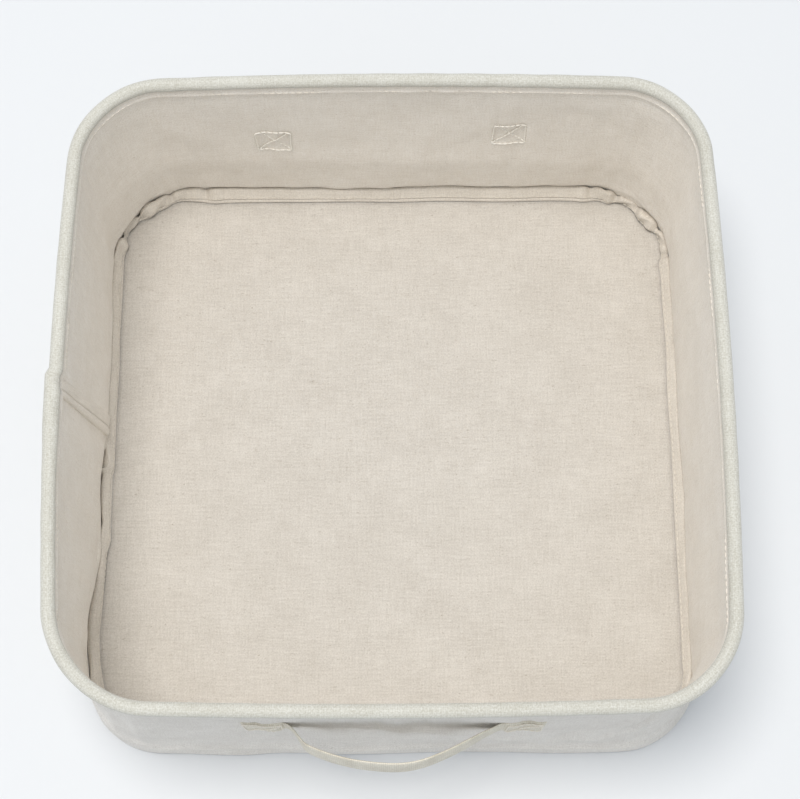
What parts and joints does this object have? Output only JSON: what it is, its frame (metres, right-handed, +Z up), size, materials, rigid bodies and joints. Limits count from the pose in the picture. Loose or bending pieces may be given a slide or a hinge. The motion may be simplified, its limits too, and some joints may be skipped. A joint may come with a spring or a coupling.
{
  "type": "fabric storage bin",
  "caption": "Soft square canvas storage bin, open at the top, with a wire-stiffened rolled rim, a board base and a tape handle on the front and on the back.",
  "frame": {"origin": "centre of the underside of the base, on the surface that the bin stands on", "axes": "+Z up, +Y towards the back handle, -Y towards the front handle, +X to the right, the wall's vertical seam at -X"},
  "size_m": [0.3501, 0.3788, 0.1608],
  "materials": {
    "natural_canvas": "plain weave of undyed cotton and linen, matt, with short darker slubs",
    "cotton_tape": "undyed woven cotton tape, matt",
    "sewing_thread": "undyed thread, slightly lustrous",
    "grey_board": "plain pressed board, matt",
    "galvanised_wire": "galvanised spring wire, dull"
  },
  "bodies": {
    "bin_base": {"bottom_outer_panel": "natural_canvas", "base_board": "grey_board", "bottom_inner_panel": "natural_canvas", "base_seam_binding": "cotton_tape", "wall_panel": "natural_canvas", "wall_seam_binding": "cotton_tape"},
    "rim": {"rim_hem": "natural_canvas", "rim_wire": "galvanised_wire", "rim_wire_ferrule": "galvanised_wire", "rim_hem_overlap": "natural_canvas"},
    "front_tabs": {"front_left_handle_tab": "cotton_tape", "front_right_handle_tab": "cotton_tape", "front_left_box_stitch": "sewing_thread", "front_right_box_stitch": "sewing_thread"},
    "back_tabs": {"back_left_handle_tab": "cotton_tape", "back_right_handle_tab": "cotton_tape", "back_left_box_stitch": "sewing_thread", "back_right_box_stitch": "sewing_thread"},
    "front_strap": {"front_handle_strap": "cotton_tape"},
    "back_strap": {"back_handle_strap": "cotton_tape"}
  },
  "joints": [
    {"name": "rim_collapse", "type": "slide", "parent": "bin_base", "child": "rim", "axis": [0, 0, -1], "range_m": [0, 0.1], "deforming": ["wall_panel", "wall_seam_binding"]},
    {"name": "front_tabs_drop", "type": "slide", "parent": "bin_base", "child": "front_tabs", "axis": [0, 0, -1], "range_m": [0, 0.058]},
    {"name": "back_tabs_drop", "type": "slide", "parent": "bin_base", "child": "back_tabs", "axis": [0, 0, -1], "range_m": [0, 0.058]},
    {"name": "front_handle_lift", "type": "hinge", "parent": "front_tabs", "child": "front_strap", "pos_m": [0, -0.16961, 0.1005], "axis": [-1, 0, 0], "range_deg": [0, 70]},
    {"name": "back_handle_lift", "type": "hinge", "parent": "back_tabs", "child": "back_strap", "pos_m": [0, 0.16961, 0.1005], "axis": [1, 0, 0], "range_deg": [0, 70]}
  ],
  "couplings": [
    {"joint": "front_tabs_drop", "follows": "rim_collapse", "ratio": 0.58},
    {"joint": "back_tabs_drop", "follows": "rim_collapse", "ratio": 0.58}
  ]
}
